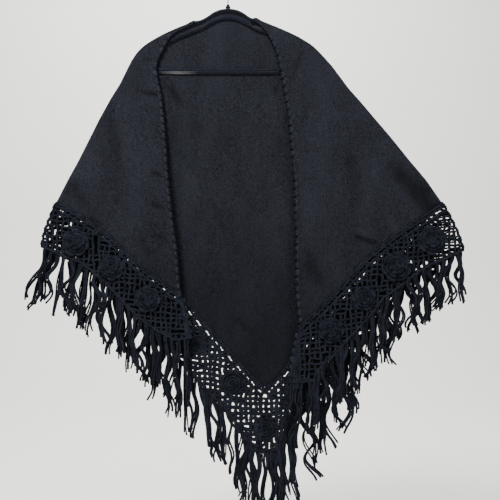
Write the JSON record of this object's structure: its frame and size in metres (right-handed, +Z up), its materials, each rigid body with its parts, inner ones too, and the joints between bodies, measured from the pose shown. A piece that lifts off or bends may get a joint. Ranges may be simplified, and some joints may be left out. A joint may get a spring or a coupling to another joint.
{
  "type": "fringed shawl on a hanger",
  "caption": "Knitted triangular shawl with crocheted net border, roses and yarn fringe, draped flat over a slim hanger with a wire hook.",
  "frame": {"origin": "inner top of the hanger's hook, where a rail carries it", "axes": "+X to the wearer's left, which is the right as seen from the front; +Y from the fronts towards the back; +Z up"},
  "size_m": [1.0892, 0.042, 1.3456],
  "materials": {
    "wool_knit": "brushed wool knit, soft and matte",
    "crochet_yarn": "plied wool yarn, matte",
    "flocked_plastic": "flocked, velvety",
    "hook_wire": "bright drawn wire"
  },
  "bodies": {
    "root": {"hanger_frame": "flocked_plastic", "hanger_collar": "flocked_plastic", "hanger_hook": "hook_wire", "shawl_front_left": "wool_knit", "shawl_front_right": "wool_knit", "shawl_back": "wool_knit", "shawl_fold_left": "wool_knit", "shawl_fold_right": "wool_knit", "edging_left": "crochet_yarn", "edging_right": "crochet_yarn", "edging_neck": "crochet_yarn", "border_front_left": "crochet_yarn", "border_front_right": "crochet_yarn", "border_back_left": "crochet_yarn", "border_back_right": "crochet_yarn", "border_fold_left": "crochet_yarn", "border_fold_right": "crochet_yarn", "fringe_front_left": "crochet_yarn", "fringe_front_right": "crochet_yarn", "fringe_back_left": "crochet_yarn", "fringe_back_right": "crochet_yarn", "rose_front_left_1": "crochet_yarn", "rose_front_left_2": "crochet_yarn", "rose_front_left_3": "crochet_yarn", "rose_front_right_1": "crochet_yarn", "rose_front_right_2": "crochet_yarn", "rose_front_right_3": "crochet_yarn", "rose_front_right_4": "crochet_yarn", "rose_back_left_1": "crochet_yarn", "rose_back_left_2": "crochet_yarn", "rose_back_left_3": "crochet_yarn", "rose_back_left_4": "crochet_yarn", "rose_back_left_5": "crochet_yarn", "rose_back_right_1": "crochet_yarn", "rose_back_right_2": "crochet_yarn", "rose_back_right_3": "crochet_yarn", "rose_back_right_4": "crochet_yarn", "rose_back_right_5": "crochet_yarn"}
  },
  "joints": []
}
